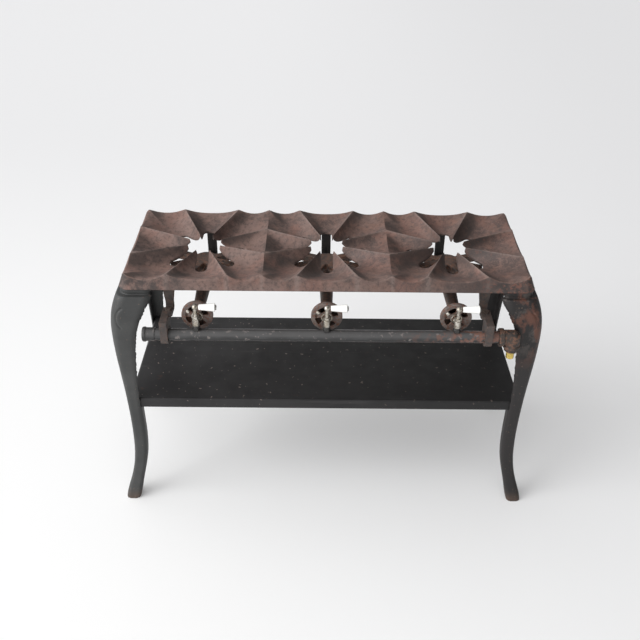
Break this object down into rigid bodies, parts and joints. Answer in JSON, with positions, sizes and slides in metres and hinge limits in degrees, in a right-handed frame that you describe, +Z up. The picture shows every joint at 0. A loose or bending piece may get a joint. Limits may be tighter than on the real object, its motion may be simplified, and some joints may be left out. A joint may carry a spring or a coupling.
{
  "type": "gas hot plate",
  "caption": "Cast-iron gas hot plate on cabriole legs, with pleated star-opening cells, a shelf, a front manifold pipe, gas cocks with porcelain levers and air mixers.",
  "frame": {"origin": "on the floor, under the middle of the bounding box", "axes": "+X along the top, to the right as the cocks face the viewer; -Y is the cock side; +Z up"},
  "size_m": [0.784, 0.349, 0.493],
  "materials": {
    "grate_iron": "old dark iron with a film of red-brown rust, rougher and greyer at the rim",
    "leg_iron": "worn black stove enamel over cast iron, rust where it has gone",
    "shelf_sheet": "satin black painted sheet with fine scratches and pale specks",
    "pipe_iron": "satin black gas pipe with rust patches",
    "fitting_iron": "rusty malleable iron",
    "hanger_iron": "dull brown iron bar",
    "soot_iron": "iron bar black with soot",
    "burner_iron": "burnt brown cast iron",
    "shutter_iron": "rusty plated sheet, greyer at the edge",
    "cock_brass": "aged plated brass, plate worn and dull",
    "inlet_brass": "yellow brass, tarnished",
    "porcelain": "white glazed porcelain with fine crazing",
    "grip_nut_steel": "dull grey steel",
    "bolt_steel": "dark rusty steel"
  },
  "bodies": {
    "stand": {"top_grate": "grate_iron", "rear_right_leg": "leg_iron", "rear_left_leg": "leg_iron", "front_right_leg": "leg_iron", "front_left_leg": "leg_iron", "leg_bolts": "bolt_steel", "shelf": "shelf_sheet", "manifold_pipe": "pipe_iron", "end_cap": "pipe_iron", "pipe_collar": "fitting_iron", "elbow": "fitting_iron", "inlet_bushing": "fitting_iron", "hose_spigot": "inlet_brass", "hanger_bolts": "bolt_steel", "strap_bolts": "bolt_steel", "shutter_screws": "cock_brass", "shutter_collars": "cock_brass", "left_hanger": "hanger_iron", "left_pipe_hook": "hanger_iron", "right_hanger": "hanger_iron", "right_pipe_hook": "hanger_iron", "left_burner": "burner_iron", "left_burner_strap": "soot_iron", "left_cock_body": "cock_brass", "left_gland_nut": "cock_brass", "left_orifice_hood": "cock_brass", "middle_burner": "burner_iron", "middle_burner_strap": "soot_iron", "middle_cock_body": "cock_brass", "middle_gland_nut": "cock_brass", "middle_orifice_hood": "cock_brass", "right_burner": "burner_iron", "right_burner_strap": "soot_iron", "right_cock_body": "cock_brass", "right_gland_nut": "cock_brass", "right_orifice_hood": "cock_brass"},
    "left_lever": {"left_cock_plug": "cock_brass", "left_lever_rod": "bolt_steel", "left_porcelain_grip": "porcelain", "left_grip_nut": "grip_nut_steel"},
    "left_shutter": {"left_air_shutter": "shutter_iron"},
    "middle_lever": {"middle_cock_plug": "cock_brass", "middle_lever_rod": "bolt_steel", "middle_porcelain_grip": "porcelain", "middle_grip_nut": "grip_nut_steel"},
    "middle_shutter": {"middle_air_shutter": "shutter_iron"},
    "right_lever": {"right_cock_plug": "cock_brass", "right_lever_rod": "bolt_steel", "right_porcelain_grip": "porcelain", "right_grip_nut": "grip_nut_steel"},
    "right_shutter": {"right_air_shutter": "shutter_iron"}
  },
  "joints": [
    {"name": "left_cock_turn", "type": "hinge", "parent": "stand", "child": "left_lever", "pos_m": [-0.224, -0.1585, 0.452], "axis": [0, 0, -1], "range_deg": [0, 90]},
    {"name": "left_shutter_turn", "type": "hinge", "parent": "stand", "child": "left_shutter", "pos_m": [-0.224, -0.14, 0.423], "axis": [0, 1, 0], "range_deg": [0, 30]},
    {"name": "middle_cock_turn", "type": "hinge", "parent": "stand", "child": "middle_lever", "pos_m": [0, -0.1585, 0.452], "axis": [0, 0, -1], "range_deg": [0, 90]},
    {"name": "middle_shutter_turn", "type": "hinge", "parent": "stand", "child": "middle_shutter", "pos_m": [0, -0.14, 0.423], "axis": [0, 1, 0], "range_deg": [0, 30]},
    {"name": "right_cock_turn", "type": "hinge", "parent": "stand", "child": "right_lever", "pos_m": [0.224, -0.1585, 0.452], "axis": [0, 0, -1], "range_deg": [0, 90]},
    {"name": "right_shutter_turn", "type": "hinge", "parent": "stand", "child": "right_shutter", "pos_m": [0.224, -0.14, 0.423], "axis": [0, 1, 0], "range_deg": [0, 30]}
  ]
}
